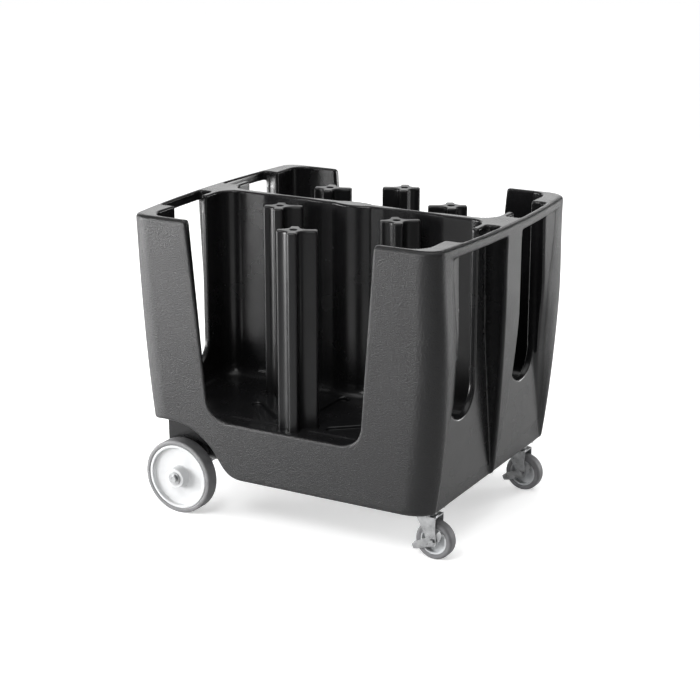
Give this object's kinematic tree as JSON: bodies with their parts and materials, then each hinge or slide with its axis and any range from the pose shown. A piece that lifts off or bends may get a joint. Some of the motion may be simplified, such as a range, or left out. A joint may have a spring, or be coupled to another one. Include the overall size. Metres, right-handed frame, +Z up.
{
  "type": "plate trolley",
  "caption": "Moulded trolley with two open plate wells, lift-out dividing towers, push rails, two large wheels on an axle and two swivel casters with brake pedals.",
  "frame": {"origin": "on the floor, under the centre of the trolley", "axes": "+X along the trolley towards the casters, -Y the front long side, +Z up"},
  "size_m": [0.9196, 0.7736, 0.81],
  "materials": {
    "body_plastic": "pebble grained black moulded polyethylene",
    "tower_plastic": "satin black moulded polyethylene",
    "tyre_rubber": "grey rubber",
    "tread_rubber": "grey thermoplastic rubber",
    "hub_plastic": "light grey nylon",
    "core_plastic": "light grey polypropylene",
    "bush_plastic": "dark acetal",
    "zinc_plate": "bright zinc plated steel",
    "axle_steel": "drawn steel",
    "ball_steel": "polished steel",
    "brass_insert": "turned brass"
  },
  "bodies": {
    "chassis": {"body_shell": "body_plastic", "caster_inserts": "brass_insert", "wheel_axle": "axle_steel", "front_inner_washer": "zinc_plate", "front_outer_washer": "zinc_plate", "front_axle_cap": "zinc_plate", "front_caster_plate": "zinc_plate", "front_plate_bolts": "zinc_plate", "front_king_pin": "zinc_plate", "front_swivel_balls": "ball_steel", "rear_inner_washer": "zinc_plate", "rear_outer_washer": "zinc_plate", "rear_axle_cap": "zinc_plate", "rear_caster_plate": "zinc_plate", "rear_plate_bolts": "zinc_plate", "rear_king_pin": "zinc_plate", "rear_swivel_balls": "ball_steel"},
    "front_tower_middle_lift": {"front_tower_middle": "tower_plastic"},
    "front_tower_left_lift": {"front_tower_left": "tower_plastic"},
    "front_tower_right_lift": {"front_tower_right": "tower_plastic"},
    "front_wheel": {"front_tyre": "tyre_rubber", "front_hub": "hub_plastic", "front_hub_bush": "bush_plastic"},
    "front_caster": {"front_caster_fork": "zinc_plate", "front_caster_bolt": "zinc_plate", "front_caster_nut": "zinc_plate"},
    "front_caster_wheel": {"front_caster_tread": "tread_rubber", "front_caster_core": "core_plastic", "front_caster_bush": "brass_insert"},
    "front_brake": {"front_brake_pedal": "zinc_plate"},
    "rear_tower_middle_lift": {"rear_tower_middle": "tower_plastic"},
    "rear_tower_left_lift": {"rear_tower_left": "tower_plastic"},
    "rear_tower_right_lift": {"rear_tower_right": "tower_plastic"},
    "rear_wheel": {"rear_tyre": "tyre_rubber", "rear_hub": "hub_plastic", "rear_hub_bush": "bush_plastic"},
    "rear_caster": {"rear_caster_fork": "zinc_plate", "rear_caster_bolt": "zinc_plate", "rear_caster_nut": "zinc_plate"},
    "rear_caster_wheel": {"rear_caster_tread": "tread_rubber", "rear_caster_core": "core_plastic", "rear_caster_bush": "brass_insert"},
    "rear_brake": {"rear_brake_pedal": "zinc_plate"}
  },
  "joints": [
    {"name": "front_tower_middle_slide", "type": "slide", "parent": "chassis", "child": "front_tower_middle_lift", "axis": [0, 0, 1], "range_m": [0, 0.56]},
    {"name": "front_tower_left_slide", "type": "slide", "parent": "chassis", "child": "front_tower_left_lift", "axis": [0, 0, 1], "range_m": [0, 0.56]},
    {"name": "front_tower_right_slide", "type": "slide", "parent": "chassis", "child": "front_tower_right_lift", "axis": [0, 0, 1], "range_m": [0, 0.56]},
    {"name": "front_wheel_spin", "type": "hinge", "parent": "chassis", "child": "front_wheel", "pos_m": [-0.345, -0.32, 0.1], "axis": [0, 1, 0], "continuous": true},
    {"name": "front_caster_swivel", "type": "hinge", "parent": "chassis", "child": "front_caster", "pos_m": [0.357, -0.271, 0.12], "axis": [0, 0, 1], "continuous": true},
    {"name": "front_caster_spin", "type": "hinge", "parent": "front_caster", "child": "front_caster_wheel", "pos_m": [0.385, -0.271, 0.05], "axis": [0, 1, 0], "continuous": true},
    {"name": "front_brake_press", "type": "hinge", "parent": "front_caster", "child": "front_brake", "pos_m": [0.385, -0.271, 0.05], "axis": [0, -1, 0], "range_deg": [0, 15]},
    {"name": "rear_tower_middle_slide", "type": "slide", "parent": "chassis", "child": "rear_tower_middle_lift", "axis": [0, 0, 1], "range_m": [0, 0.56]},
    {"name": "rear_tower_left_slide", "type": "slide", "parent": "chassis", "child": "rear_tower_left_lift", "axis": [0, 0, 1], "range_m": [0, 0.56]},
    {"name": "rear_tower_right_slide", "type": "slide", "parent": "chassis", "child": "rear_tower_right_lift", "axis": [0, 0, 1], "range_m": [0, 0.56]},
    {"name": "rear_wheel_spin", "type": "hinge", "parent": "chassis", "child": "rear_wheel", "pos_m": [-0.345, 0.32, 0.1], "axis": [0, 1, 0], "continuous": true},
    {"name": "rear_caster_swivel", "type": "hinge", "parent": "chassis", "child": "rear_caster", "pos_m": [0.357, 0.271, 0.12], "axis": [0, 0, 1], "continuous": true},
    {"name": "rear_caster_spin", "type": "hinge", "parent": "rear_caster", "child": "rear_caster_wheel", "pos_m": [0.385, 0.271, 0.05], "axis": [0, 1, 0], "continuous": true},
    {"name": "rear_brake_press", "type": "hinge", "parent": "rear_caster", "child": "rear_brake", "pos_m": [0.385, 0.271, 0.05], "axis": [0, -1, 0], "range_deg": [0, 15]}
  ]
}
